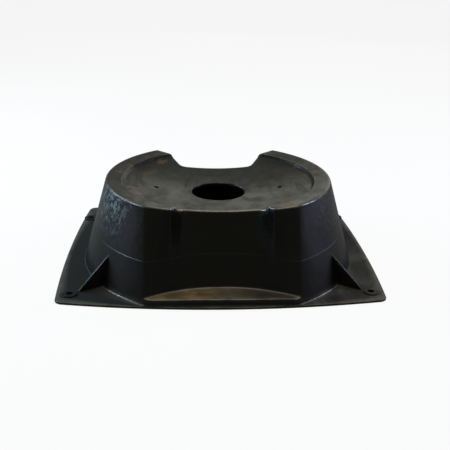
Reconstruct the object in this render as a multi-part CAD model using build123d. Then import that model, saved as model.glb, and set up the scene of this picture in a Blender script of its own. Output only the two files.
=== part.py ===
from build123d import *
import os
from math import atan2, cos, degrees, hypot, sin, sqrt

# Filter base pedestal: one moulded shell, an open-bottomed drum on a thin flange.
# Plan places are measured from the drum's axis, heights from the floor, and the
# front, with its recessed wall, faces -Y. The finished shell is moved last, so that
# the origin lies on the floor under the middle of the flange. Millimetres.

# Flange, with four slightly bulged sides
flange_thickness = 3.4
flange_front = 205.5
flange_rear = 225.0
flange_side = 246.6
flange_front_corner = (245.5, 183.0)
flange_rear_corner = (231.5, 214.0)
flange_corner_radius = 12.0
flange_edge_chamfer = 0.9

# Drum: round at the rim, a little deeper than wide at its foot
rim_radius = 180.0
rim_height = 137.7
foot_half_width = 217.7
foot_half_depth = 231.2
wall_thickness = 4.5
top_thickness = 5.0
rim_edge_chamfer = 2.2
rim_edge_overhang = 1.0
front_edge_chamfer = 2.0

# Crease round the walls, below which they stand a little further out
crease_height = 61.4
crease_step = 0.8

# Seat on top: a shallow spherical dish, a step up to a ring and a land rising to the rim. The
# dish's depth and the land's fall are measured down from the rim.
dish_depth = 29.2
dish_radius = 558.0
ring_step_run = 5.0
land_width = 25.0
land_fall = 3.3

# Low plinth under the front and rear walls, set back from the flange's edges
plinth_height = 10.0
front_plinth_setback = 7.3
rear_plinth_setback = 20.8

# Recessed walls. Each has its top line at a layout height above the rim, from a tip on the
# drum's side over a corner to a straight back, and stands on an arc on the plinth. Corner
# and back are set back from the rim, and the arc's apex from the drum's foot.
layout_rise = 5.7
front_tip_x = 111.0
front_corner_x = 77.0
front_corner_setback = 28.5
front_back_x = 54.0
front_back_setback = 65.0
front_back_radius = 26.0
front_foot_tip_x = 113.0
front_foot_setback = 72.0
rear_tip_x = 103.0
rear_corner_x = 76.0
rear_corner_setback = 50.5
rear_back_x = 59.0
rear_back_setback = 90.2
rear_back_radius = 13.0
rear_foot_tip_x = 104.0
rear_foot_setback = 79.2

# Holes
bore_radius = 42.8
dish_hole_radius = 4.0
dish_hole_x = 100.0
corner_hole_radius = 5.0
corner_hole_spacing = (452.0, 316.0)
boss_radius = 11.5
boss_height = 2.0

# Gussets from the drum to the corner holes
gusset_thickness = 3.6
gusset_height = 49.0
gusset_end_height = 1.5
gusset_boss_gap = 3.5

# How far cutting bodies run past the outline, past the shell and below the floor
reach = 16.0
far = 300.0
below = 10.0

ring_foot_radius = rim_radius - land_width - ring_step_run
dish_floor_height = rim_height - dish_depth
ring_inner_height = rim_height - land_fall
layout_height = rim_height + layout_rise
plinth_top = flange_thickness + plinth_height
front_corner = (front_corner_x, rim_radius - front_corner_setback)
front_back = (front_back_x, rim_radius - front_back_setback)
front_foot_apex = foot_half_depth - front_foot_setback
rear_corner = (rear_corner_x, rim_radius - rear_corner_setback)
rear_back = (rear_back_x, rim_radius - rear_back_setback)
rear_foot_apex = foot_half_depth - rear_foot_setback
front_face = flange_front - front_plinth_setback
rear_face = flange_rear - rear_plinth_setback


def drum_axes(height):
    # Half width and half depth of the full drum at a height
    rise = (height - flange_thickness) / (rim_height - flange_thickness)
    half_width = foot_half_width + (rim_radius - foot_half_width) * rise
    half_depth = foot_half_depth + (rim_radius - foot_half_depth) * rise
    return half_width, half_depth


def drum_side(x, height):
    # Distance of the drum's side from the middle plane at a place across it
    half_width, half_depth = drum_axes(height)
    return half_depth * sqrt(1 - (x / half_width) ** 2)


def drum_cone(inset):
    outlines = []
    for height in (-below, layout_height):
        half_width, half_depth = drum_axes(height)
        ellipse = Edge.make_ellipse(half_width - inset, half_depth - inset)
        outlines.append(Pos(0, 0, height) * Wire(ellipse))
    return Solid.make_loft(outlines, ruled=True)


def wall_cutter(tip_x, corner, back, back_radius, foot_tip_x, foot_apex, side, inset):
    # Everything in front of a recessed wall, ruled from its foot arc to its top line
    tip_y = drum_side(tip_x, layout_height)
    slope = (tip_y - corner[1]) / (tip_x - corner[0])
    end = (tip_x + reach, tip_y + slope * reach)
    right = [(x, side * y) for x, y in (end, corner, back)]
    left = [(-x, y) for x, y in reversed(right)]
    line = Polyline(*right, *left)
    backs = [v for v in line.vertices() if abs(v.X) < (corner[0] + back[0]) / 2]
    line = fillet(backs, back_radius)
    top_edges = sorted(line.edges(), key=lambda edge: -edge.center().X)

    # The foot arc is divided where rulings come down from the ends of the top line's parts
    rise = drum_side(foot_tip_x, plinth_top) - foot_apex
    foot_radius = (foot_tip_x**2 + rise**2) / (2 * rise)
    top_stops = sorted({round(v.X, 6) for v in line.vertices()}, reverse=True)
    stops = [x * foot_tip_x / tip_x for x in top_stops]

    def place(x):
        return (x, side * (foot_apex + foot_radius - sqrt(foot_radius**2 - x**2)))

    foot_edges = [
        ThreePointArc(place(a), place((a + b) / 2), place(b)) for a, b in zip(stops, stops[1:])
    ]

    outlines = []
    for edges, start, height in (
        (foot_edges, place(stops[0]), plinth_top - max(inset, 0)),
        (top_edges, right[0], layout_height),
    ):
        x, y = start
        closing = Polyline((x, y), (x, side * far), (-x, side * far), (-x, y))
        face = Face(Wire([*edges, *closing.edges()]))
        if inset != 0:
            face = offset(face, amount=inset, kind=Kind.INTERSECTION).face()
        outlines.append(Pos(0, 0, height) * face.outer_wire())
    return Solid.make_loft(outlines, ruled=True)


def seat_cutter():
    # Everything above the dish, the step up to the ring and the gently rising land
    land_slope = land_fall / land_width
    dish_edge = dish_floor_height + dish_radius - sqrt(dish_radius**2 - ring_foot_radius**2)
    step_top = (ring_foot_radius + ring_step_run, ring_inner_height)
    land_end = (far, rim_height + land_slope * (far - rim_radius))
    middle = (0, dish_floor_height)
    dish = RadiusArc(middle, (ring_foot_radius, dish_edge), -dish_radius)
    rest = Polyline(dish @ 1, step_top, land_end, (far, far), (0, far), middle)
    profile = Plane.XZ * Face(Wire([dish, *rest.edges()]))
    return revolve(profile, Axis.Z)


def rim_cutter():
    # Everything above the cone that breaks the rim's edge and ends outside the drum's side
    start = (rim_radius - rim_edge_chamfer, rim_height)
    end = (rim_radius + rim_edge_overhang, rim_height - rim_edge_chamfer)
    outline = Polyline(start, end, (far, end[1]), (far, far), (start[0], far), close=True)
    return revolve(Plane.XZ * make_face(outline), Axis.Z)


def drum(inset, drop):
    # The drum with its walls moved in by the inset and its top lowered by the drop
    middle = (rear_face - front_face) / 2
    body = drum_cone(inset)
    body &= Pos(0, middle, 0) * Box(2 * far, front_face + rear_face - 2 * inset, 2 * far)
    body -= wall_cutter(
        front_tip_x, front_corner, front_back, front_back_radius,
        front_foot_tip_x, front_foot_apex, -1, inset,
    )
    body -= wall_cutter(
        rear_tip_x, rear_corner, rear_back, rear_back_radius,
        rear_foot_tip_x, rear_foot_apex, 1, inset,
    )
    return body - Pos(0, 0, -drop) * seat_cutter()


def break_front_edge(body):
    # Break the edge between the top and the front wall, the circles of the ring excepted
    edges = [
        edge
        for edge in body.edges()
        if edge.geom_type != GeomType.CIRCLE
        and min((edge @ 0).Z, (edge @ 1).Z) > dish_floor_height
        and edge.center().Y < -front_back[1]
    ]
    return chamfer(edges, front_edge_chamfer)


def drum_outside():
    # The full drum, over its lower part that stands out by the crease
    upper = break_front_edge(drum(0, 0)) - rim_cutter()
    lower = drum(-crease_step, 0) & Pos(0, 0, crease_height - far) * Box(2 * far, 2 * far, 2 * far)
    walls = upper + lower
    return walls & Pos(0, 0, far + flange_thickness / 2) * Box(2 * far, 2 * far, 2 * far)


def flange_plate():
    # Thin plate with four bulged sides, rounded corners and a broken top edge
    front_x, front_y = flange_front_corner
    rear_x, rear_y = flange_rear_corner
    middle_y = (rear_y - front_y) / 2
    sides = [
        ThreePointArc((-front_x, -front_y), (0, -flange_front), (front_x, -front_y)),
        ThreePointArc((front_x, -front_y), (flange_side, middle_y), (rear_x, rear_y)),
        ThreePointArc((rear_x, rear_y), (0, flange_rear), (-rear_x, rear_y)),
        ThreePointArc((-rear_x, rear_y), (-flange_side, middle_y), (-front_x, -front_y)),
    ]
    outline = Face(Wire(sides))
    outline = fillet(outline.vertices(), flange_corner_radius)
    plate = extrude(outline, amount=flange_thickness)
    return chamfer(plate.faces().sort_by(Axis.Z)[-1].edges(), flange_edge_chamfer)


def gusset(x, y):
    # Triangular rib between the drum and the boss of a corner hole, in its radial plane
    turn = atan2(y, x)
    root_height = flange_thickness + gusset_height
    half_width, half_depth = drum_axes(root_height)
    root = 1 / hypot(cos(turn) / half_width, sin(turn) / half_depth)
    inner = root - 2 * wall_thickness
    toe = hypot(x, y) - boss_radius - gusset_boss_gap
    side = Polyline(
        (inner, flange_thickness / 2),
        (toe, flange_thickness / 2),
        (toe, flange_thickness + gusset_end_height),
        (root, root_height),
        (inner, root_height),
        close=True,
    )
    rib = extrude(Plane.XZ * make_face(side), amount=gusset_thickness / 2, both=True)
    return Rot(0, 0, degrees(turn)) * rib


spacing_x, spacing_y = corner_hole_spacing
corners = [(x * spacing_x / 2, y * spacing_y / 2) for x in (-1, 1) for y in (-1, 1)]
upward = (Align.CENTER, Align.CENTER, Align.MIN)

pedestal = drum_outside() + flange_plate()
for x, y in corners:
    boss = Cylinder(boss_radius, flange_thickness + boss_height, align=upward)
    pedestal += [gusset(x, y), Pos(x, y, 0) * boss]
pedestal -= drum(wall_thickness, top_thickness)
pedestal -= Cylinder(bore_radius, 2 * far)
for x, y in corners:
    pedestal -= Pos(x, y, 0) * Cylinder(corner_hole_radius, far)
for x in (-dish_hole_x, dish_hole_x):
    pedestal -= Pos(x, 0, rim_height) * Cylinder(dish_hole_radius, rim_height)
pedestal = Pos(0, (flange_front - flange_rear) / 2, 0) * pedestal

os.makedirs("parts", exist_ok=True)
export_step(pedestal, "parts/pedestal.step")
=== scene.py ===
import bpy
from math import atan2, cos, pi, radians, sin, sqrt, tan
from mathutils import Matrix, Vector


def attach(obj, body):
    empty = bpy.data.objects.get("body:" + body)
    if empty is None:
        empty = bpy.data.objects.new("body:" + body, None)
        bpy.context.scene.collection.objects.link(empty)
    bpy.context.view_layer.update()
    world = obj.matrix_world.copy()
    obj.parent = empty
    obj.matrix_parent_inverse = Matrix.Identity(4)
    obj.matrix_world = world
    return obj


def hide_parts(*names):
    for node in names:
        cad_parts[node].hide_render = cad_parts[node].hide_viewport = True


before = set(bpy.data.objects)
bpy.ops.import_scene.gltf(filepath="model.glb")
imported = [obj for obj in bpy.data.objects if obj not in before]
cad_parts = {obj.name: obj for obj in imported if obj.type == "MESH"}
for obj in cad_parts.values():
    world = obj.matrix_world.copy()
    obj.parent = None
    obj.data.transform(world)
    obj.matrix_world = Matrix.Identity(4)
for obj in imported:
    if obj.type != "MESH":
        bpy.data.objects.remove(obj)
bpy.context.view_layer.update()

millimetre = 0.001      # the shell's own sizes below are in millimetres, the scene in metres


# The camera stands in front, a little to the left, and looks down on the pedestal
cameraView = {
    "place": (-0.0569, -1.2888, 0.5546),
    "yaw": 0.0538,          # radians, towards +X
    "pitch": 0.3745,        # radians, down
    "roll": -0.0163,
    "focalPixels": 832.2,
    "imageWidth": 450,
    "sensorWidth": 36.0,
}

studio = {
    "floorSize": 60.0,
    "floorGap": 0.0002,                     # under the pedestal's flat underside
    "paperColour": (0.90, 0.90, 0.90),      # the floor as the camera sees it
    "floorGlow": 0.90,                      # share of plain white in that
    "floorColour": (0.21, 0.20, 0.18),      # the floor as the pedestal mirrors it
    "worldColour": (1.0, 0.98, 0.84),
    "worldStrength": 0.12,
    "lampTarget": (0.0, 0.0, 0.1),
    # name, place, watts, sides, colour
    "lamps": (
        ("topSoftbox", (0.10, 0.00, 1.70), 13.0, (1.1, 1.1), (1.0, 0.96, 0.86)),
        ("backSoftbox", (0.75, 2.10, 0.74), 3.2, (1.9, 0.9), (1.0, 0.98, 0.88)),
        ("leftWindow", (-1.16, 0.42, 0.66), 15.0, (1.20, 0.12), (0.54, 0.79, 1.0)),
        ("leftStrip", (-1.22, 0.08, 0.17), 0.34, (0.80, 0.24), (0.74, 0.76, 1.0)),
        ("rightWindow", (1.25, 0.30, 0.74), 8.0, (0.60, 0.15), (0.58, 0.70, 1.0)),
        ("rightStrip", (1.22, 0.22, 0.18), 0.62, (1.00, 0.28), (0.66, 0.68, 1.0)),
    ),
}


def deselectAll():
    if bpy.context.object and bpy.context.object.mode != "OBJECT":
        bpy.ops.object.mode_set(mode="OBJECT")
    bpy.ops.object.select_all(action="DESELECT")


def makeActive(piece):
    deselectAll()
    piece.select_set(True)
    bpy.context.view_layer.objects.active = piece


def setCamera():
    yaw, pitch, roll = cameraView["yaw"], cameraView["pitch"], cameraView["roll"]
    forward = Vector((sin(yaw) * cos(pitch), cos(yaw) * cos(pitch), -sin(pitch)))
    level = Vector((cos(yaw), -sin(yaw), 0.0))
    down = forward.cross(level)
    right = level * cos(roll) + down * sin(roll)
    up = level * sin(roll) - down * cos(roll)
    turn = Matrix((right, up, -forward)).transposed().to_4x4()
    bpy.ops.object.camera_add()
    camera = bpy.context.object
    camera.name = "photoCamera"
    camera.matrix_world = Matrix.Translation(cameraView["place"]) @ turn
    camera.data.sensor_width = cameraView["sensorWidth"]
    camera.data.lens = cameraView["focalPixels"] / cameraView["imageWidth"] * cameraView["sensorWidth"]
    bpy.context.scene.camera = camera


def setWorld():
    # White to the camera, dim and warm to the pedestal
    world = bpy.data.worlds.new("studioWorld")
    bpy.context.scene.world = world
    row = NodeRow(world)
    seen = row.add("ShaderNodeBackground")
    seen.inputs["Color"].default_value = (1.0, 1.0, 1.0, 1.0)
    lighting = row.add("ShaderNodeBackground")
    lighting.inputs["Color"].default_value = (*studio["worldColour"], 1.0)
    lighting.inputs["Strength"].default_value = studio["worldStrength"]
    choose = row.add("ShaderNodeMixShader")
    row.join(row.add("ShaderNodeLightPath").outputs["Is Camera Ray"], choose.inputs["Fac"])
    row.join(lighting.outputs[0], choose.inputs[1])
    row.join(seen.outputs[0], choose.inputs[2])
    row.join(choose.outputs[0], row.add("ShaderNodeOutputWorld").inputs["Surface"])


def floorMaterial():
    # White paper to the camera, with the pedestal's shadow on it, and a duller one in reflections
    material = bpy.data.materials.new("studioPaper")
    row = NodeRow(material)
    paper = row.add("ShaderNodeBsdfDiffuse")
    paper.inputs["Color"].default_value = (*studio["paperColour"], 1.0)
    glow = row.add("ShaderNodeEmission")
    glow.inputs["Color"].default_value = (1.0, 1.0, 1.0, 1.0)
    seen = row.add("ShaderNodeMixShader")
    seen.inputs["Fac"].default_value = studio["floorGlow"]
    row.join(paper.outputs[0], seen.inputs[1])
    row.join(glow.outputs[0], seen.inputs[2])
    mirrored = row.add("ShaderNodeBsdfDiffuse")
    mirrored.inputs["Color"].default_value = (*studio["floorColour"], 1.0)
    choose = row.add("ShaderNodeMixShader")
    row.join(row.add("ShaderNodeLightPath").outputs["Is Camera Ray"], choose.inputs["Fac"])
    row.join(mirrored.outputs[0], choose.inputs[1])
    row.join(seen.outputs[0], choose.inputs[2])
    row.join(choose.outputs[0], row.add("ShaderNodeOutputMaterial").inputs["Surface"])
    return material


def setStudio():
    bpy.context.scene.view_settings.view_transform = "Standard"
    setWorld()
    deselectAll()
    floorPlace = (0.0, 0.0, -studio["floorGap"])
    bpy.ops.mesh.primitive_plane_add(size=studio["floorSize"], location=floorPlace)
    floor = bpy.context.object
    floor.name = "studioFloor"
    floor.data.materials.append(floorMaterial())

    for name, place, watts, sides, colour in studio["lamps"]:
        bpy.ops.object.light_add(type="AREA", location=place)
        lamp = bpy.context.object
        lamp.name = name
        lamp.data.shape = "RECTANGLE"
        lamp.data.size, lamp.data.size_y = sides
        lamp.data.energy = watts
        lamp.data.color = colour
        aim = Vector(studio["lampTarget"]) - Vector(place)
        lamp.rotation_euler = aim.to_track_quat("-Z", "Y").to_euler()
    print("studio set with", len(studio["lamps"]), "lamps")


class NodeRow:
    # Adds shader nodes and joins them, so that a material reads from top to bottom
    def __init__(self, owner):
        owner.use_nodes = True
        self.tree = owner.node_tree
        self.tree.nodes.clear()
        self.count = 0

    def add(self, kind, **settings):
        node = self.tree.nodes.new(kind)
        node.location = (220 * (self.count % 8), -260 * (self.count // 8))
        self.count += 1
        for key, value in settings.items():
            setattr(node, key, value)
        return node

    def join(self, source, target):
        self.tree.links.new(source, target)

    def feed(self, socket, value):
        if isinstance(value, bpy.types.NodeSocket):
            self.join(value, socket)
        else:
            socket.default_value = value

    def split(self, vector):
        node = self.add("ShaderNodeSeparateXYZ")
        self.join(vector, node.inputs[0])
        return node.outputs[0], node.outputs[1], node.outputs[2]

    def noise(self, place, scale, detail, roughness, distortion):
        node = self.add("ShaderNodeTexNoise")
        self.feed(node.inputs["Vector"], place)
        node.inputs["Scale"].default_value = scale
        node.inputs["Detail"].default_value = detail
        node.inputs["Roughness"].default_value = roughness
        node.inputs["Distortion"].default_value = distortion
        return node.outputs["Fac"]

    def stretch(self, place, scale, turn):
        node = self.add("ShaderNodeMapping")
        self.feed(node.inputs["Vector"], place)
        node.inputs["Scale"].default_value = scale
        node.inputs["Rotation"].default_value = turn
        return node.outputs["Vector"]

    def ramp(self, value, low, high, toLow=0.0, toHigh=1.0):
        # Runs smoothly from toLow to toHigh while the value goes from low to high
        node = self.add("ShaderNodeMapRange")
        node.interpolation_type = "SMOOTHSTEP"
        self.feed(node.inputs["Value"], value)
        node.inputs["From Min"].default_value = low
        node.inputs["From Max"].default_value = high
        node.inputs["To Min"].default_value = toLow
        node.inputs["To Max"].default_value = toHigh
        return node.outputs["Result"]

    def math(self, operation, first, second=0.0):
        node = self.add("ShaderNodeMath", operation=operation)
        self.feed(node.inputs[0], first)
        self.feed(node.inputs[1], second)
        return node.outputs[0]

    def product(self, first, *others):
        for other in others:
            first = self.math("MULTIPLY", first, other)
        return first

    def total(self, first, *others):
        for other in others:
            first = self.math("ADD", first, other)
        return first

    def between(self, share, first, second):
        node = self.add("ShaderNodeMix")
        for socket, value in ((0, share), (2, first), (3, second)):
            self.feed(node.inputs[socket], value)
        return node.outputs[0]

    def blend(self, share, first, second):
        node = self.add("ShaderNodeMix", data_type="RGBA")
        self.feed(node.inputs[0], share)
        for socket, colour in ((node.inputs[6], first), (node.inputs[7], second)):
            self.feed(socket, (*colour, 1.0) if isinstance(colour, tuple) else colour)
        return node.outputs[2]


plastic = {
    "black": (0.0050, 0.0049, 0.0036),
    "dust": (0.066, 0.064, 0.050),
    "stain": (0.085, 0.058, 0.028),     # brown patches on the ring
    "paintedHighlight": (0.230, 0.290, 0.320),      # painted highlight: bluish reflection high on the walls, speckled like scuffs
    "tan": (0.175, 0.118, 0.052),       # painted reflection: warm tan sheen on the front ledge
    "edge": (0.280, 0.245, 0.195),      # edges worn pale, with a painted highlight along them

    "specular": 0.40,
    "highRoughness": 0.17,
    "lowRoughness": 0.26,
    "topRoughness": 0.32,
    "flangeRoughness": 1.0,
    "flowRoughness": 0.08,
    "filmRoughness": 0.06,
    "scratchRoughness": 0.10,

    # Noises: scale, detail, roughness, distortion
    "clouds": (11.0, 6.0, 0.62, 0.9),
    "swirls": (24.0, 5.0, 0.6, 1.6),
    "stains": (19.0, 4.0, 0.6, 1.2),
    "blotches": (140.0, 6.0, 0.8, 0.2),
    "ledgePatches": (26.0, 4.0, 0.55, 0.4),
    "edgeBreaks": (34.0, 3.0, 0.5, 0.0),
    "flow": (38.0, 4.0, 0.6, 0.3),
    "scratches": (420.0, 2.0, 0.5, 0.0),
    "waves": (22.0, 2.0, 0.45, 0.0),
    "hammered": (150.0, 4.0, 0.6, 0.5),
    "grain": (900.0, 2.0, 0.5, 0.0),

    # How some of them are stretched and turned
    "swirlStretch": ((1.0, 0.35, 1.0), (0.0, 0.0, 0.5)),
    "blotchStretch": ((1.0, 1.0, 0.8), (0.0, 0.0, 0.0)),
    "flowStretch": ((1.0, 1.0, 0.12), (0.0, 0.0, 0.0)),
    "scratchStretch": ((0.08, 1.0, 1.0), (0.5, 0.4, 0.7)),
    "hammeredStretch": ((1.0, 1.0, 0.6), (0.0, 0.0, 0.0)),

    # Ramps: where each starts and ends, then its values there unless they are 0 and 1.
    # Places are in metres, directions in radians from the front.
    "upward": (0.55, 0.95),
    "drumHeights": (0.060, 0.090),
    "cloudDust": (0.36, 0.66, 0.12, 1.0),
    "swirlDust": (0.34, 0.58, 0.35, 1.0),
    "rearDust": (0.09, -0.10, 0.25, 1.0),
    # dust thinned towards the left of the top and of the flange paints those parts darker as shade
    "leftPaintedShade": (-0.16, -0.09, 0.35, 1.0),
    "flangeDustAndShade": (-0.12, 0.0, 0.02, 0.80),
    "stainPatches": (0.54, 0.68),
    "stainHeights": (0.118, 0.128),
    "asideFrom": (0.72, 0.95),
    "asideTo": (1.50, 1.15),
    "outward": (0.0, 0.05),
    # the painted highlight's heights, patches and sides; it is strongest at the left
    "paintedHighlightHeights": (0.062, 0.125),
    "paintedHighlightPatches": (0.46, 0.62),
    "paintedHighlightSides": (-0.02, 0.02, 0.9, 0.12),
    "ledgeDepth": (-0.162, -0.172),
    "ledgeBottom": (0.0105, 0.0125),
    "ledgeTop": (0.022, 0.015),
    "tanPatches": (0.35, 0.65, 0.40, 1.0),
    "tanSides": (0.06, -0.06, 0.06, 1.0),
    "edgePatches": (0.34, 0.60, 0.35, 1.0),
    "scratchLines": (0.66, 0.74),
    "wallHeights": (0.050, 0.125),
    "swirlRoughness": (0.34, 0.58, 0.16, 0.0),
    "filmTexture": (0.40, 0.62),
    "edgePolish": (0.0, 0.3, 1.0, 0.5),

    # Bump: how much each pattern stands out, and the depth in metres
    "hammeredHeight": 0.12,
    "scuffedHeight": 1.05,
    "grainHeight": 0.012,
    "scratchHeight": -0.02,
    "bumpStrength": 0.9,
    "bumpDepth": 0.0013,
}


def plasticMaterial():
    material = bpy.data.materials.new("blackPlasticWithPaintedHighlights")
    row = NodeRow(material)

    def noise(name, stretchName=None):
        scaled = row.stretch(where, *plastic[stretchName]) if stretchName else where
        return row.noise(scaled, *plastic[name])

    def ramp(value, name):
        return row.ramp(value, *plastic[name])

    coordinates = row.add("ShaderNodeTexCoord")
    where = coordinates.outputs["Object"]
    x, y, z = row.split(where)
    facingX, facingY, facingZ = row.split(coordinates.outputs["Normal"])
    wearAndHighlight = row.add("ShaderNodeAttribute", attribute_name="wearAndHighlight").outputs["Fac"]
    upward = ramp(facingZ, "upward")
    high = ramp(z, "drumHeights")

    # Dust that has settled in clouds on the top, thin at the back and on the flange; it is thinned
    # towards the left of the top and of the flange as painted shade there
    swirls = noise("swirls", "swirlStretch")
    thick = row.product(
        ramp(noise("clouds"), "cloudDust"), ramp(swirls, "swirlDust"), ramp(y, "rearDust"),
        ramp(x, "leftPaintedShade"), row.math("MAXIMUM", high, ramp(x, "flangeDustAndShade")))
    colour = row.blend(row.product(upward, thick), plastic["black"], plastic["dust"])
    stains = row.product(ramp(noise("stains"), "stainPatches"), ramp(z, "stainHeights"))
    colour = row.blend(row.product(upward, stains), colour, plastic["stain"])

    # Painted highlight, speckled: a bluish reflection coloured in high on the drum's sides, more of it
    # at the left
    blotches = noise("blotches", "blotchStretch")
    azimuth = row.math("ARCTAN2", row.math("ABSOLUTE", x), row.product(y, -1.0))
    outward = row.total(row.product(facingX, x), row.product(facingY, y))
    aside = row.product(ramp(azimuth, "asideFrom"), ramp(azimuth, "asideTo"), ramp(outward, "outward"))
    highOnSides = row.product(ramp(z, "paintedHighlightHeights"), aside, row.math("SUBTRACT", 1.0, upward))
    paintedHighlight = row.product(highOnSides, ramp(blotches, "paintedHighlightPatches"), ramp(x, "paintedHighlightSides"))
    colour = row.blend(paintedHighlight, colour, plastic["paintedHighlight"])

    # The front ledge has a painted reflection: a warm tan tint, more of it at its left
    ledge = row.product(ramp(y, "ledgeDepth"), ramp(z, "ledgeBottom"), ramp(z, "ledgeTop"), upward)
    patches = row.product(ramp(noise("ledgePatches"), "tanPatches"), ramp(x, "tanSides"))
    colour = row.blend(row.product(ledge, patches), colour, plastic["tan"])

    # Edges rubbed pale, unevenly along their length, with painted highlights along the rims, the ring's
    # step, the foot, the ledge and the ribs
    edgeWearAndHighlight = row.product(wearAndHighlight, ramp(noise("edgeBreaks"), "edgePatches"))
    colour = row.blend(edgeWearAndHighlight, colour, plastic["edge"])

    # Gloss: streaks left by the mould's flow, fine scratches and edges polished by wear
    flow = noise("flow", "flowStretch")
    scratch = ramp(noise("scratches", "scratchStretch"), "scratchLines")
    walls = row.ramp(z, *plastic["wallHeights"], plastic["lowRoughness"], plastic["highRoughness"])
    walls = row.total(walls, row.product(flow, plastic["flowRoughness"]))
    level = row.ramp(high, 0.0, 1.0, plastic["flangeRoughness"], plastic["topRoughness"])
    level = row.total(level, ramp(swirls, "swirlRoughness"))
    rough = row.total(
        row.between(upward, walls, level),
        row.product(ramp(blotches, "filmTexture"), plastic["filmRoughness"]),
        row.product(scratch, plastic["scratchRoughness"]))
    rough = row.product(rough, ramp(wearAndHighlight, "edgePolish"))

    # Moulded surface: slow waves, hammered patches and a fine grain
    hammered = noise("hammered", "hammeredStretch")
    dents = row.total(plastic["hammeredHeight"], row.product(highOnSides, plastic["scuffedHeight"]))
    height = row.total(
        noise("waves"), row.product(hammered, dents),
        row.product(noise("grain"), plastic["grainHeight"]),
        row.product(scratch, plastic["scratchHeight"]))
    bump = row.add("ShaderNodeBump")
    bump.inputs["Strength"].default_value = plastic["bumpStrength"]
    bump.inputs["Distance"].default_value = plastic["bumpDepth"]
    row.join(height, bump.inputs["Height"])

    shader = row.add("ShaderNodeBsdfPrincipled")
    row.join(colour, shader.inputs["Base Color"])
    row.join(rough, shader.inputs["Roughness"])
    row.join(bump.outputs[0], shader.inputs["Normal"])
    shader.inputs["Specular IOR Level"].default_value = plastic["specular"]
    row.join(shader.outputs[0], row.add("ShaderNodeOutputMaterial").inputs["Surface"])
    print("plastic made from", row.count, "nodes")
    return material


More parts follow.
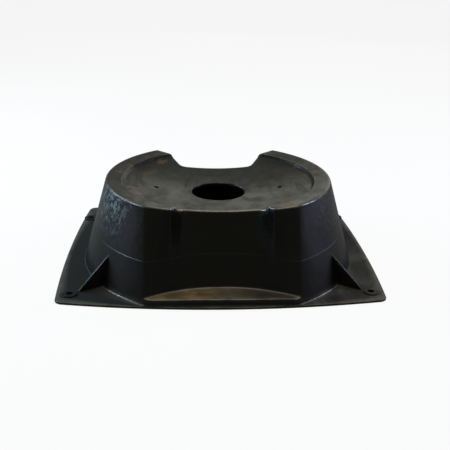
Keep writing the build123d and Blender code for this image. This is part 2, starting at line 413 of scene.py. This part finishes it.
# The moulded shell in millimetres, from the drum's axis and the floor
shell = {
    "axisOffset": -9.75,        # the drum's axis, from the middle of the flange
    "rimRadius": 180.0,
    "rimHeight": 137.7,
    "footHalfWidth": 217.7,
    "footHalfDepth": 231.2,
    "flangeTop": 3.4,
    "wall": 4.5,                # thickness of the walls and of the top
    "top": 5.0,

    # Seat on top: dish, step up to a ring, and a land that rises to the rim
    "dishFloor": 108.5,
    "dishRadius": 558.0,
    "stepFoot": 150.0,
    "stepTop": 155.0,
    "stepTopHeight": 134.4,
    "stepSoftness": 0.4,        # 0 makes the step a plain slope
    "boreRadius": 42.8,

    # Recessed walls, with their top lines at the layout height, over a plinth
    "layoutHeight": 143.4,
    "plinthTop": 13.4,
    "frontFace": 198.2,
    "rearFace": 204.2,
    "front": {"tip": 111.0, "corner": (77.0, 151.5), "back": (54.0, 115.0),
              "radii": (6.0, 26.0), "footTip": 113.0, "apex": 159.2},
    "rear": {"tip": 103.0, "corner": (76.0, 129.5), "back": (59.0, 89.8),
             "radii": (8.0, 13.0), "footTip": 104.0, "apex": 152.0},
    "crease": 61.4,
    "creaseStep": 0.5,

    # Rounding of the edges
    "topRound": 3.2,
    "rimRound": 4.8,
    "roundEasing": 60,          # how often the change between those two is smoothed
    "footRound": 3.2,
    "ledgeRound": 1.6,
    "boreRound": 0.8,
    "flangeRound": 1.1,
    "flangeRoundShare": 0.7,    # most of the flange's width that its rounding may take
    "undersideBevel": 0.3,

    # Points round the outline
    "lineSpacing": 3.2,
    "arcSteps": 5,              # fewest steps round a corner
    "arcDensity": 1.5,          # how much closer its points stand than the line's
    "tipStep": 0.9,
    "tipSteps": 4,
    "tipClearance": 1.0,
    "sideLength": 330.0,
    "sideParts": 96,
    # Share of the way along the rear wall, and the direction in degrees on the bore
    "boreTurns": ((0.0, 28.0), (0.12, 30.0), (0.28, 40.0), (0.5, 90.0)),

    # Rings over the top, by their distance from the axis
    "boreProfile": ((0.0, 1.0), (0.3, 0.3)),        # shares of its rounding, outwards and down
    "topRings": (46.0, 56.0, 68.0, 80.0, 92.0, 104.0, 114.0, 124.0, 133.0, 141.0, 146.5, 149.4,
                 150.0, 150.6, 152.0, 153.4, 154.4, 155.0, 155.6, 158.5, 164.0, 170.0, 175.0),
    "ringGap": 0.25,
    "edgeSearch": (100, 144),   # whole heights between which the walls meet the top

    # Rings down the walls
    "wallShares": (0.12, 0.28, 0.45, 0.62, 0.8),    # from the top's edge to the crease
    "creaseProfile": ((1.6, 0.0), (1.0, 0.08), (0.5, 0.31), (0.0, 0.77), (-0.3, 0.97), (-0.9, 1.0)),
    "lowerRings": (50.0, 38.0, 27.0, 20.0),
    "flangeShares": (0.35, 0.7),
    "edgeCurve": (0.0, 0.33, 0.67, 1.0),

    # While the ledge's rings cross it, the convex sides run on down: by a step for each ring on
    # its foot, once for its middle, and for the plinth's edge by a first step and then by another
    "ledgeDrop": 0.8,
    "ledgeMiddleDrop": 0.3,
    "plinthDrops": (0.6, 0.35),

    # Rings over the other roundings: share of the way over each, and wear with painted highlight from 0
    # to 1
    "topCurve": ((0.2, 0.25), (0.4, 1.0), (0.6, 1.0), (0.8, 0.3)),
    "ledgeCurve": ((0.25, 0.1), (0.5, 0.7), (0.75, 0.1), (1.0, 0.1)),
    "plinthCurve": ((0.0, 0.1), (0.33, 0.9), (0.67, 0.9), (1.0, 0.1)),
    "footCurve": ((0.0, 0.1), (0.25, 0.1), (0.5, 0.6), (0.75, 0.1), (1.0, 0.1)),

    # Rings inside
    "insideStep": 0.5,
    "insideRings": (40.0, 70.0, 95.0),
    "undersideRings": (155.5, 149.5, 120.0, 90.0, 65.0),
    "undersideGap": 0.2,

    # Where else the edges get the pale colour of wear and painted highlight
    "stepHighlight": 0.8,
    "stepHighlightFrom": 40.0,       # the ring's step gets a painted highlight behind this place
    "stepHighlightFront": 0.3,       # and this share of it in front
    "sideHighlight": 0.4,            # share of the top edge's pale colour that the edge has away from the front wall, there a painted highlight
    "footHighlightFrom": -115.0,     # the foot has a painted highlight in front of this place
    "flangeWearAndHighlight": 0.25,

    "mergeDistance": 0.01,
    "smoothAngle": 42.0,
}


def drumAxes(height):
    # Half width and half depth of the full drum at a height
    rise = (height - shell["flangeTop"]) / (shell["rimHeight"] - shell["flangeTop"])
    halfWidth = shell["footHalfWidth"] + (shell["rimRadius"] - shell["footHalfWidth"]) * rise
    halfDepth = shell["footHalfDepth"] + (shell["rimRadius"] - shell["footHalfDepth"]) * rise
    return halfWidth, halfDepth


def drumSide(x, height):
    # Distance of the drum's side from the middle plane at a place across it
    halfWidth, halfDepth = drumAxes(height)
    return halfDepth * sqrt(max(0.0, 1.0 - (x / halfWidth) ** 2))


def seatHeight(radius):
    # Height of the top at a distance from the axis: dish, step, land
    stepFoot, stepTop, stepHeight = shell["stepFoot"], shell["stepTop"], shell["stepTopHeight"]
    dishRadius = shell["dishRadius"]
    dish = shell["dishFloor"] + dishRadius - sqrt(dishRadius ** 2 - min(radius, stepFoot) ** 2)
    if radius <= stepFoot:
        return dish
    if radius <= stepTop:
        share = (radius - stepFoot) / (stepTop - stepFoot)
        soft = shell["stepSoftness"]
        share = share * share * (3.0 - 2.0 * share) * soft + share * (1.0 - soft)
        return dish + (stepHeight - dish) * share
    share = (radius - stepTop) / (shell["rimRadius"] - stepTop)
    return stepHeight + (shell["rimHeight"] - stepHeight) * share


def roundedLine(points, radii):
    # Points along a line whose inner corners are rounded
    spacing = shell["lineSpacing"]

    def run(start, end):
        count = max(1, round((end - start).length / spacing))
        return [start.lerp(end, k / count) for k in range(count)]

    corners = [Vector(p) for p in points]
    made = []
    last = corners[0]
    for k in range(1, len(corners) - 1):
        before = (corners[k - 1] - corners[k]).normalized()
        after = (corners[k + 1] - corners[k]).normalized()
        half = before.angle(after) / 2.0
        radius = radii[k - 1]
        middle = corners[k] + (before + after).normalized() * radius / sin(half)
        start = corners[k] + before * radius / tan(half)
        end = corners[k] + after * radius / tan(half)
        made += run(last, start)
        arc = radius * (pi - 2.0 * half)
        steps = max(shell["arcSteps"], round(arc / spacing * shell["arcDensity"]))
        first, second = start - middle, end - middle
        sweep = atan2(first.cross(second), first.dot(second))
        for s in range(steps):
            turn = sweep * s / steps
            alongX = first.x * cos(turn) - first.y * sin(turn)
            alongY = first.x * sin(turn) + first.y * cos(turn)
            made.append(middle + Vector((alongX, alongY)))
        last = end
    made += run(last, corners[-1])
    return made + [corners[-1]]


def mirrored(places):
    # The places on the other side of the middle plane, from the last to the first
    return [Vector((-p[0], p[1])) for p in reversed(places)]


def wallLine(wall, side):
    # Top and foot places of a recessed wall's rulings, from its right tip to its left one
    tip = Vector((wall["tip"], drumSide(wall["tip"], shell["layoutHeight"])))
    otherTip = Vector((-tip.x, tip.y))
    right = [tip, wall["corner"], wall["back"]]
    cornerRadius, backRadius = wall["radii"]
    radii = (cornerRadius, backRadius, backRadius, cornerRadius)
    line = roundedLine(right + mirrored(right), radii)

    # Evenly spaced points next to each tip, where its rounding is laid
    inwards = (Vector(wall["corner"]) - tip).normalized()
    start = [tip + inwards * (shell["tipStep"] * k) for k in range(shell["tipSteps"] + 1)]
    clear = shell["tipStep"] * shell["tipSteps"] + shell["tipClearance"]
    line = [p for p in line if clear < min((p - tip).length, (p - otherTip).length)]
    top = start + line + mirrored(start)

    rise = drumSide(wall["footTip"], shell["plinthTop"]) - wall["apex"]
    footRadius = (wall["footTip"] ** 2 + rise ** 2) / (2.0 * rise)
    made = []
    for p in top:
        x = p.x * wall["footTip"] / wall["tip"]
        y = wall["apex"] + footRadius - sqrt(footRadius ** 2 - x * x)
        made.append((Vector((p.x, side * p.y)), Vector((x, side * y))))
    return made


def ruled(pair, height):
    # The place at a height on the straight line from a ruling's foot to its top
    share = (height - shell["plinthTop"]) / (shell["layoutHeight"] - shell["plinthTop"])
    return pair[1].lerp(pair[0], share)


def normalsOf(places):
    # Outward normals of a closed outline that runs clockwise seen from above
    made = []
    for k in range(len(places)):
        along = places[(k + 1) % len(places)] - places[k - 1]
        made.append(Vector((-along.y, along.x)).normalized())
    return made


def curvePoint(first, peak, last, share):
    # On the curve from first to last that is drawn towards the peak
    return first * (1 - share) ** 2 + peak * 2 * share * (1 - share) + last * share * share


def curveRing(first, peak, last, share):
    return [curvePoint(a, b, c, share) for a, b, c in zip(first, peak, last)]


def shareAlong(share, stops):
    # The value at a share of the way, from stops given as (share, value)
    for (low, first), (high, second) in zip(stops, stops[1:]):
        if share <= high:
            return first + (second - first) * (share - low) / (high - low)
    return stops[-1][1]


def eased(values, times):
    # Values round a closed outline, smoothed by averaging each with its neighbours
    count = len(values)
    for _ in range(times):
        values = [(values[k - 1] + values[k] + values[(k + 1) % count]) / 3.0 for k in range(count)]
    return values


def raised(places, height):
    heights = height if isinstance(height, list) else [height] * len(places)
    return [Vector((p.x, p.y, h)) for p, h in zip(places, heights)]


def shrunk(places, height):
    # The same outline inside the wall's thickness
    return raised([p * (1.0 - shell["wall"] / p.length) for p in places], height)


class Outline:
    # The drum's closed outline at any height, always with the same points in the same order:
    # front wall from right to left, left side, rear wall from left to right, right side
    def __init__(self):
        self.front = wallLine(shell["front"], -1)
        self.rear = list(reversed(wallLine(shell["rear"], 1)))
        steps, parts = shell["tipSteps"], shell["sideParts"]
        near = [k * shell["tipStep"] / shell["sideLength"] for k in range(1, steps + 1)]
        inner = [k / parts for k in range(2, parts - 1)]    # the ends have the points near the tips
        self.shares = near + inner + [1.0 - s for s in reversed(near)]
        front, side, rear = len(self.front), len(self.shares), len(self.rear)
        self.marks = ["front"] * front + ["side"] * side + ["rear"] * rear + ["side"] * side
        self.tips = (0, front - 1, front + side, front + side + rear - 1)

    def at(self, height, grow=0.0, ledge=0.0):
        # ledge 0 gives the recessed walls, 1 the plinth's faces under them
        halfWidth, halfDepth = drumAxes(height)
        wallHeight = max(height, shell["plinthTop"])

        def recessed(pairs, face, side):
            made = []
            for pair in pairs:
                outer = Vector((pair[1].x, side * min(face, drumSide(pair[1].x, height))))
                made.append(ruled(pair, wallHeight).lerp(outer, ledge))
            return made

        def tipAngle(pair, side):
            outer = Vector((pair[1].x, side * drumSide(pair[1].x, height)))
            place = ruled(pair, wallHeight).lerp(outer, ledge)
            return atan2(place.y / halfDepth, place.x / halfWidth)

        def sideArc(start, end):
            angles = [start + (end - start) * share for share in self.shares]
            return [Vector((halfWidth * cos(angle), halfDepth * sin(angle))) for angle in angles]

        frontRight, frontLeft = tipAngle(self.front[0], -1), tipAngle(self.front[-1], -1)
        rearLeft, rearRight = tipAngle(self.rear[0], 1), tipAngle(self.rear[-1], 1)
        places = self.softenTips(
            recessed(self.front, shell["frontFace"], -1) + sideArc(frontLeft, rearLeft - 2.0 * pi)
            + recessed(self.rear, shell["rearFace"], 1) + sideArc(rearRight, frontRight))
        return [p + n * grow for p, n in zip(places, normalsOf(places))] if grow else places

    def softenTips(self, places):
        # Rounds the four sharp edges between the recessed walls and the drum's sides
        count, reach = len(places), shell["tipSteps"]
        soft = list(places)
        for tip in self.tips:
            first, last = places[(tip - reach) % count], places[(tip + reach) % count]
            for k in range(-reach + 1, reach):
                share = (k + reach) / (2.0 * reach)
                soft[(tip + k) % count] = curvePoint(first, places[tip], last, share)
        return soft


class RingStack:
    # The shell's rings of points in the order of its surface, and how much pale wear and painted
    # highlight each point has.
    # They run from the bore's top edge out over the top, down the walls, out to the flange's
    # edge, back along its underside and up inside to the bore's lower edge.
    def __init__(self):
        self.outline = Outline()
        self.rings = []
        self.wearAndHighlights = []

    def add(self, places, wearAndHighlight=0.0):
        self.rings.append(places)
        self.wearAndHighlights.append(wearAndHighlight if isinstance(wearAndHighlight, list) else [wearAndHighlight] * len(places))

    def level(self, height, ledge=0.0):
        # The outline below the crease, where the walls stand out by its step
        return raised(self.outline.at(height, shell["creaseStep"], ledge), height)

    def frontWearAndHighlight(self, wearAndHighlight, elsewhere=0.0):
        # The front wall's points get one share of pale wear and painted highlight, the others the
        # second
        return [wearAndHighlight if mark == "front" else elsewhere for mark in self.outline.marks]

    def addLedge(self, places, sideHeight, wearAndHighlight, ledge=0.0):
        # On the convex sides the ledge's rings only run on down the wall
        sides = self.level(sideHeight, ledge)
        marks = self.outline.marks
        mixed = [s if mark == "side" else p for mark, s, p in zip(marks, sides, places)]
        self.add(mixed, self.frontWearAndHighlight(wearAndHighlight))


def findTopEdge(outline):
    # Where the walls meet the top, how far that edge is rounded at each point, and the
    # places on the wall where the rounding ends
    samples = {float(height): outline.at(float(height)) for height in range(*shell["edgeSearch"])}
    levels = sorted(samples)
    rounds = [shell["rimRound"] if mark == "side" else shell["topRound"] for mark in outline.marks]
    rounds = eased(rounds, shell["roundEasing"])
    heights, places, feet = [], [], []
    for k, rounding in enumerate(rounds):
        for low, high in zip(levels, levels[1:]):
            gapLow = seatHeight(samples[low][k].length) - low
            gapHigh = seatHeight(samples[high][k].length) - high
            if gapHigh <= 0.0 <= gapLow:
                share = gapLow / max(1e-9, gapLow - gapHigh)
                height = low + (high - low) * share
                place = samples[low][k].lerp(samples[high][k], share)
        heights.append(height)
        places.append(place)
        footHeight = height - rounding
        low = min(levels[-2], max(levels[0], float(int(footHeight))))
        foot = samples[low][k].lerp(samples[low + 1.0][k], footHeight - low)
        feet.append(Vector((foot.x, foot.y, footHeight)))
    return heights, places, rounds, feet


def borePlaces(outline, inset):
    # Each point's place on the bore. Behind, where the wall runs inwards, the places are
    # turned towards the side, so that the lines to the edge don't cross.
    firstTip, lastTip = outline.tips[2], outline.tips[3]
    tipTurn = atan2(inset[lastTip].y, inset[lastTip].x)
    runs = {firstTip: 0.0}      # distance along the rear wall from its left tip
    for k in range(firstTip + 1, lastTip + 1):
        runs[k] = runs[k - 1] + (inset[k] - inset[k - 1]).length
    length = runs[lastTip]
    made = []
    for k, place in enumerate(inset):
        turn = atan2(place.y, place.x)
        if k in runs:
            fromTip = min(runs[k], length - runs[k])
            turn = radians(shareAlong(fromTip / length, shell["boreTurns"]))
            turn = turn if runs[k] > length / 2.0 else pi - turn
        elif place.y > 0.0:
            turn = atan2(place.y, abs(place.x)) * radians(shell["boreTurns"][0][1]) / tipTurn
            turn = turn if place.x > 0.0 else pi - turn
        made.append(Vector((cos(turn), sin(turn))) * shell["boreRadius"])
    return made


def spokes(starts, ends, radii):
    # The points at given distances from the axis on the lines from the bore to an outline
    made = []
    for start, end, radius in zip(starts, ends, radii):
        step = end - start
        half = start.dot(step) / step.dot(step)
        rest = (radius ** 2 - shell["boreRadius"] ** 2) / step.dot(step)
        made.append(start + step * (sqrt(max(0.0, half * half + rest)) - half))
    return made


def addTop(stack, starts, inset):
    # The bore's rounded edge, dish, step and land, held inside the rounded outer edge
    bore, boreRound = shell["boreRadius"], shell["boreRound"]
    for outwards, down in shell["boreProfile"]:
        places = spokes(starts, inset, [bore + outwards * boreRound] * len(inset))
        stack.add(raised(places, seatHeight(bore) - down * boreRound))
    radii = (bore + boreRound, *shell["topRings"])
    for n, radius in enumerate(radii):
        margin = shell["ringGap"] * (len(radii) - n)
        places = spokes(starts, inset, [min(radius, p.length - margin) for p in inset])
        # The ring's step gets a painted highlight, stronger behind
        rear = shell["stepHighlight"] if radius == shell["stepTop"] else 0.0
        front = shell["stepHighlightFront"] * rear
        wearAndHighlight = [rear if p.y > shell["stepHighlightFrom"] else front for p in places]
        stack.add(raised(places, [seatHeight(p.length) for p in places]), wearAndHighlight)


def addWalls(stack, first, peak, last):
    # The top's rounded edge, the walls, the crease's small step, and on to the ledge
    stack.add(first)
    for share, wearAndHighlight in shell["topCurve"]:
        wearAndHighlights = stack.frontWearAndHighlight(wearAndHighlight, shell["sideHighlight"] * wearAndHighlight)
        stack.add(curveRing(first, peak, last, share), wearAndHighlights)
    stack.add(last)

    crease, step = shell["crease"], shell["creaseStep"]
    wallEnd = crease + shell["creaseProfile"][0][0]
    ends = raised(stack.outline.at(wallEnd), wallEnd)
    for share in shell["wallShares"]:
        stack.add([a * (1 - share) + b * share for a, b in zip(last, ends)])
    for drop, grow in shell["creaseProfile"]:
        stack.add(raised(stack.outline.at(crease + drop, grow * step), crease + drop))
    for height in (*shell["lowerRings"], shell["plinthTop"] + shell["footRound"]):
        stack.add(stack.level(height))


def addPlinth(stack):
    # The ledge in front of each recessed wall, with the plinth's face under it
    top, foot, ledgeRound = shell["plinthTop"], shell["footRound"], shell["ledgeRound"]
    wallFoot = stack.outline.at(top, shell["creaseStep"])
    ledgeRim = stack.outline.at(top, shell["creaseStep"], 1.0)

    def alongLedge(starts, ends, distance):
        made = []
        for a, b in zip(starts, ends):
            span = (b - a).length
            made.append(a.lerp(b, 0.0 if span < 1e-6 else min(0.5, distance / span)))
        return raised(made, top)

    inner = alongLedge(wallFoot, ledgeRim, foot)
    rim = alongLedge(ledgeRim, wallFoot, ledgeRound)
    above = stack.level(top + foot)
    for n, (share, wearAndHighlight) in enumerate(shell["ledgeCurve"]):
        sideHeight = top + foot - shell["ledgeDrop"] * (n + 1)
        ring = curveRing(above, raised(wallFoot, top), inner, share)
        stack.addLedge(ring, sideHeight, wearAndHighlight)
    middle = [a.lerp(b, 0.5) for a, b in zip(inner, rim)]
    stack.addLedge(middle, top - shell["ledgeMiddleDrop"], 0.0)

    firstDrop, nextDrop = shell["plinthDrops"]
    faceTop = stack.level(top - ledgeRound, 1.0)
    for n, (share, wearAndHighlight) in enumerate(shell["plinthCurve"]):
        sideHeight = top - firstDrop - nextDrop * n
        ring = curveRing(rim, raised(ledgeRim, top), faceTop, share)
        stack.addLedge(ring, sideHeight, wearAndHighlight, 1.0)


def addFlange(stack, flangeEdge):
    # The rounded foot, the flange and its edge. Returns the foot's sharp outline.
    top, foot, edgeRound = shell["flangeTop"], shell["footRound"], shell["flangeRound"]
    start = stack.level(top + foot, 1.0)
    meet = stack.outline.at(top, shell["creaseStep"], 1.0)
    out = [p + n * foot for p, n in zip(meet, normalsOf(meet))]
    marks = stack.outline.marks
    # The foot gets a painted highlight at the front, on the drum's sides
    atFront = [mark == "side" and p.y < shell["footHighlightFrom"] for mark, p in zip(marks, meet)]
    for share, wearAndHighlight in shell["footCurve"]:
        ring = curveRing(start, raised(meet, top), raised(out, top), share)
        stack.add(ring, [wearAndHighlight if front else 0.0 for front in atFront])

    border = [flangeEdge(p) for p in out]
    most = shell["flangeRoundShare"]
    pulled = [b.lerp(a, min(most, edgeRound / (a - b).length)) for a, b in zip(out, border)]
    for share in shell["flangeShares"]:
        stack.add(raised([a.lerp(b, share) for a, b in zip(out, pulled)], top))
    sharp, low = raised(border, top), raised(border, top - edgeRound)
    for share in shell["edgeCurve"]:
        stack.add(curveRing(raised(pulled, top), sharp, low, share), shell["flangeWearAndHighlight"])
    bevel = shell["undersideBevel"]
    stack.add(raised(border, bevel))
    stack.add(raised([p - p.normalized() * bevel for p in border], 0.0))
    return meet


def addInside(stack, meet, starts, heights, edge):
    # The flange's underside and the hollow inside, up to the bore's lower edge
    outline, wall, thickness, plinthTop = stack.outline, shell["wall"], shell["top"], shell["plinthTop"]
    stack.add(shrunk(meet, 0.0))
    stack.add(shrunk(outline.at(plinthTop - wall, 0.0, 1.0), plinthTop - wall))
    stack.add(shrunk(outline.at(plinthTop), plinthTop - wall + shell["insideStep"]))
    for height in shell["insideRings"]:
        stack.add(shrunk(outline.at(height), height))
    under = shrunk(edge, [height - thickness for height in heights])
    stack.add(under)
    under = [p.to_2d() for p in under]
    for radius in (*shell["undersideRings"], shell["boreRadius"]):
        places = spokes(starts, under, [min(radius, p.length - shell["undersideGap"]) for p in under])
        stack.add(raised(places, [seatHeight(p.length) - thickness for p in places]))


def shellRings(flangeEdge):
    stack = RingStack()
    heights, edge, rounds, feet = findTopEdge(stack.outline)
    inset = [p - n * r for p, n, r in zip(edge, normalsOf(edge), rounds)]
    starts = borePlaces(stack.outline, inset)
    addTop(stack, starts, inset)
    first = raised(inset, [seatHeight(p.length) for p in inset])
    addWalls(stack, first, raised(edge, heights), feet)
    addPlinth(stack)
    meet = addFlange(stack, flangeEdge)
    addInside(stack, meet, starts, heights, edge)
    stack.add(stack.rings[0])
    return stack.rings, stack.wearAndHighlights


def flangeEdgeFinder():
    # Reads the flange's outline off the CAD node, so that both have the same border
    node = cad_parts["pedestal"]
    level = 0.0005      # metres above the floor, where the border is upright
    outside = 0.6       # metres from the axis, beyond every corner
    axis = Vector((0.0, shell["axisOffset"] * millimetre, level))

    def find(place):
        direction = Vector((place.x, place.y, 0.0)).normalized()
        _, hit, _, _ = node.ray_cast(axis + direction * outside, -direction)
        return direction.to_2d() * ((hit - axis).length / millimetre)

    return find


def makeShell():
    rings, wearAndHighlights = shellRings(flangeEdgeFinder())
    deselectAll()
    around, along = len(rings[0]), len(rings) - 1
    bpy.ops.mesh.primitive_grid_add(x_subdivisions=around, y_subdivisions=along, size=1.0)
    piece = bpy.context.object
    piece.name = "mouldedShell"
    flat = []
    for ring in rings:
        for p in ring + ring[:1]:
            flat += [p.x * millimetre, (p.y + shell["axisOffset"]) * millimetre, p.z * millimetre]
    piece.data.vertices.foreach_set("co", flat)
    # Each point's pale wear and painted highlight, for the material
    wearAndHighlight = piece.data.attributes.new("wearAndHighlight", "FLOAT", "POINT")
    wearAndHighlight.data.foreach_set("value", [share for shares in wearAndHighlights for share in shares + shares[:1]])
    piece.data.update()
    bpy.ops.object.mode_set(mode="EDIT")
    bpy.ops.mesh.select_all(action="SELECT")
    bpy.ops.mesh.remove_doubles(threshold=shell["mergeDistance"] * millimetre)
    bpy.ops.mesh.select_all(action="SELECT")
    bpy.ops.mesh.normals_make_consistent(inside=False)
    bpy.ops.object.mode_set(mode="OBJECT")
    print("shell:", len(piece.data.vertices), "points,", len(piece.data.polygons), "faces")
    return piece


# Ribs, bosses and holes in millimetres, from the drum's axis and the floor
corners = {
    "spacing": (452.0, 316.0),
    "holeRadius": 5.0,
    "holeCut": (-5.0, 20.0),        # heights between which the holes are cut
    "roundSides": 48,
    "dishHoleX": 100.0,
    "dishHoleRadius": 4.0,
    "dishHoleCut": (80.0, 160.0),
    "bossRadius": 11.5,
    "bossHeight": 2.0,
    "bossRound": 1.0,
    "ribThickness": 3.6,
    "ribHeight": 49.0,
    "ribEnd": 1.5,
    "ribGap": 3.5,
    "ribRound": 0.9,
    "ribRoot": 0.6,                 # share of the wall's thickness that a rib reaches into
    # the rib's top edge is coloured pale as wear and painted highlight
    "ribWearAndHighlight": 0.7,
    "ribFlank": 0.05,               # how near its flanks a rib's top edge gets no pale wear and painted highlight
    "sink": 1.7,                    # how far ribs and bosses reach into the flange
    "roundSteps": 3,
    "roundAngle": 30.0,
}


def softenEdges(piece, width):
    makeActive(piece)
    bevel = piece.modifiers.new("soften", "BEVEL")
    bevel.width = width * millimetre
    bevel.segments = corners["roundSteps"]
    bevel.limit_method = "ANGLE"
    bevel.angle_limit = radians(corners["roundAngle"])
    bpy.ops.object.modifier_apply(modifier=bevel.name)


def drumReach(turn, height):
    # Distance from the axis to the drum's side in a direction
    halfWidth, halfDepth = drumAxes(height)
    return 1.0 / sqrt((cos(turn) / halfWidth) ** 2 + (sin(turn) / halfDepth) ** 2)


def makeRib(x, y):
    # A triangular rib from the drum towards a corner's boss, standing on the flange
    turn = atan2(y, x)
    flangeTop = shell["flangeTop"]
    low = flangeTop - corners["sink"]
    end = flangeTop + corners["ribEnd"]
    rootHeight = flangeTop + corners["ribHeight"]
    into = shell["wall"] * corners["ribRoot"]
    root = drumReach(turn, rootHeight) + shell["creaseStep"] - into
    foot = drumReach(turn, flangeTop) - into
    toe = sqrt(x * x + y * y) - corners["bossRadius"] - corners["ribGap"]
    flank = corners["ribThickness"] / 2.0
    deselectAll()
    bpy.ops.mesh.primitive_cube_add(size=1.0)
    rib = bpy.context.object
    for vertex in rib.data.vertices:
        outer, top = vertex.co.x > 0, vertex.co.z > 0
        along = toe if outer else (root if top else foot)
        height = low if not top else (end if outer else rootHeight)
        across = flank if vertex.co.y > 0 else -flank
        placeX = along * cos(turn) - across * sin(turn)
        placeY = along * sin(turn) + across * cos(turn)
        vertex.co = Vector((placeX, placeY, height)) * millimetre
        vertex.co.y += shell["axisOffset"] * millimetre
    softenEdges(rib, corners["ribRound"])
    # Pale wear and painted highlight along the rib's top edge
    wearAndHighlight = rib.data.attributes.new("wearAndHighlight", "FLOAT", "POINT")
    for vertex, share in zip(rib.data.vertices, wearAndHighlight.data):
        placeX = vertex.co.x / millimetre
        placeY = vertex.co.y / millimetre - shell["axisOffset"]
        across = placeY * cos(turn) - placeX * sin(turn)
        onEdge = abs(across) < flank - corners["ribFlank"] and vertex.co.z / millimetre > end
        share.value = corners["ribWearAndHighlight"] if onEdge else 0.0
    return rib


def makeRod(x, y, radius, low, high):
    deselectAll()
    middle = (x * millimetre, (y + shell["axisOffset"]) * millimetre, (low + high) / 2.0 * millimetre)
    bpy.ops.mesh.primitive_cylinder_add(
        vertices=corners["roundSides"], radius=radius * millimetre,
        depth=(high - low) * millimetre, location=middle)
    rod = bpy.context.object
    bpy.ops.object.transform_apply(location=True, rotation=True, scale=True)
    return rod


def makeBoss(x, y):
    low, high = shell["flangeTop"] - corners["sink"], shell["flangeTop"] + corners["bossHeight"]
    boss = makeRod(x, y, corners["bossRadius"], low, high)
    softenEdges(boss, corners["bossRound"])
    return boss


def cutOrJoin(piece, others, operation):
    # Joins the others into one tool, and unites it with the piece or cuts it away
    deselectAll()
    for other in others:
        other.select_set(True)
    bpy.context.view_layer.objects.active = others[0]
    bpy.ops.object.join()
    tool = bpy.context.object
    makeActive(piece)
    modifier = piece.modifiers.new("join", "BOOLEAN")
    modifier.operation = operation
    modifier.solver = "EXACT"
    modifier.object = tool
    bpy.ops.object.modifier_apply(modifier=modifier.name)
    bpy.data.objects.remove(tool)


def addCorners(piece):
    spacingX, spacingY = corners["spacing"]
    places = [(x * spacingX / 2.0, y * spacingY / 2.0) for x in (-1, 1) for y in (-1, 1)]
    bosses = [makeBoss(x, y) for x, y in places]
    cutOrJoin(piece, [makeRib(x, y) for x, y in places] + bosses, "UNION")
    holes = [makeRod(x, y, corners["holeRadius"], *corners["holeCut"]) for x, y in places]
    for x in (-corners["dishHoleX"], corners["dishHoleX"]):
        holes.append(makeRod(x, 0.0, corners["dishHoleRadius"], *corners["dishHoleCut"]))
    cutOrJoin(piece, holes, "DIFFERENCE")
    bpy.ops.object.mode_set(mode="EDIT")
    bpy.ops.mesh.select_all(action="SELECT")
    bpy.ops.mesh.fill_holes(sides=4)    # slivers that the cuts leave open
    bpy.ops.object.mode_set(mode="OBJECT")
    print("ribs, bosses and holes added:", len(piece.data.polygons), "faces")
    return piece


def finishShell(piece):
    makeActive(piece)
    bpy.ops.object.shade_smooth_by_angle(angle=radians(shell["smoothAngle"]))
    piece.data.materials.clear()
    piece.data.materials.append(plasticMaterial())
    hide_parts("pedestal")
    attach(piece, "root")


setCamera()
setStudio()
finishShell(addCorners(makeShell()))
